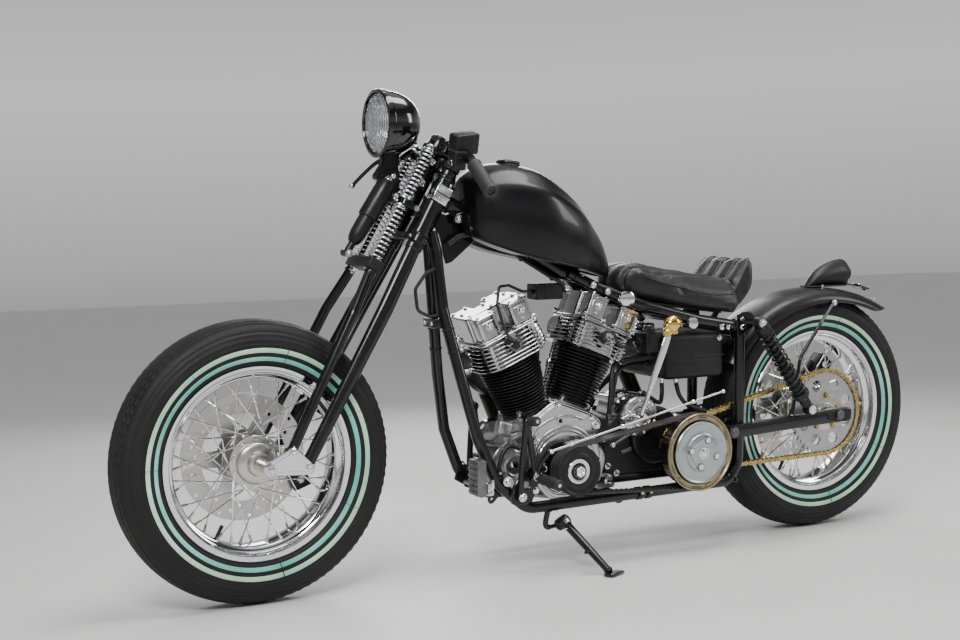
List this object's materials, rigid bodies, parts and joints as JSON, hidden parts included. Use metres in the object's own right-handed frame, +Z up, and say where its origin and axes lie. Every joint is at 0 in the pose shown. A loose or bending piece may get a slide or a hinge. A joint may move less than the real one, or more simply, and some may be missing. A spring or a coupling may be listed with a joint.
{
  "type": "chopper motorcycle",
  "caption": "Long low springer-fork motorcycle with a V-twin engine, rigid-looking frame, solo seat and spoked whitewall wheels, leaning on its side stand.",
  "frame": {"origin": "bottom centre of the whole machine's box, on the ground", "axes": "+X forward, +Y to the rider's left, +Z up; the machine leans 3.5 degrees to its left on its side stand"},
  "size_m": [2.218, 0.6156, 1.147],
  "materials": {
    "black_frame": "gloss",
    "black_bodywork": "satin",
    "chrome": "polished",
    "cast_alloy": "cast and part polished",
    "black_barrel": "satin black",
    "steel": "brushed",
    "zinc_steel": "zinc plated",
    "brass_chain": "plated links",
    "gold": "polished",
    "black_leather": "smooth",
    "black_rubber": "matt",
    "black_tyre": "black with two pale rings a side",
    "lens": "clear",
    "black_plastic": "matt"
  },
  "bodies": {
    "chassis": {"air_cleaner": "cast_alloy", "clutch_drum": "zinc_steel", "cylinder_heads": "cast_alloy", "cylinders": "black_barrel", "drive_chain": "brass_chain", "engine_crankcase": "cast_alloy", "engine_pulley": "steel", "exhaust_pipes": "chrome", "foot_controls": "black_frame", "frame_backbone": "black_frame", "frame_crossmembers": "black_frame", "frame_left_loop": "black_frame", "frame_right_loop": "black_frame", "fuel_tank": "black_bodywork", "gearbox": "cast_alloy", "ignition_coils": "black_plastic", "oil_tank": "black_bodywork", "plug_leads": "black_rubber", "primary_belt": "black_rubber", "pushrod_covers": "chrome", "rear_brake_caliper": "black_plastic", "rear_fender": "black_bodywork", "rear_shocks": "black_frame", "regulator": "cast_alloy", "seat": "black_leather", "shift_knob": "gold", "shift_lever": "steel", "swingarm": "black_frame", "tail_light": "black_bodywork", "wiring_loop": "black_rubber"},
    "steering": {"fork_damper": "black_plastic", "fork_rigid_legs": "black_frame", "fork_rockers": "chrome", "fork_spring_legs": "black_frame", "fork_springs": "chrome", "fork_stem": "black_frame", "front_brake_caliper": "black_plastic", "front_brake_hose": "black_rubber", "hand_controls": "black_plastic", "handlebar": "black_frame", "handlebar_grips": "black_rubber", "headlight_bucket": "black_bodywork", "headlight_lens": "lens"},
    "front_wheel": {"front_brake_disc": "steel", "front_hub_and_spokes": "chrome", "front_rim": "chrome", "front_tyre": "black_tyre"},
    "rear_wheel": {"rear_brake_disc": "steel", "rear_hub_and_spokes": "chrome", "rear_rim": "chrome", "rear_sprocket": "steel", "rear_tyre": "black_tyre"},
    "side_stand": {"side_stand": "black_frame"}
  },
  "joints": [
    {"name": "steering", "type": "hinge", "parent": "chassis", "child": "steering", "pos_m": [0.351, -0.00465, 0.84842], "axis": [-0.5, 0.0529, 0.8644], "range_deg": [-28, 28]},
    {"name": "front_wheel_spin", "type": "hinge", "parent": "steering", "child": "front_wheel", "pos_m": [0.79, -0.03707, 0.3184], "axis": [0, 0.9981, -0.061], "continuous": true},
    {"name": "rear_wheel_spin", "type": "hinge", "parent": "chassis", "child": "rear_wheel", "pos_m": [-0.79, -0.03707, 0.3184], "axis": [0, 0.9981, -0.061], "continuous": true},
    {"name": "side_stand_fold", "type": "hinge", "parent": "chassis", "child": "side_stand", "pos_m": [0.046, 0.06457, 0.11282], "axis": [-0.3165, 0.8039, 0.5035], "range_deg": [0, 77.97]}
  ]
}
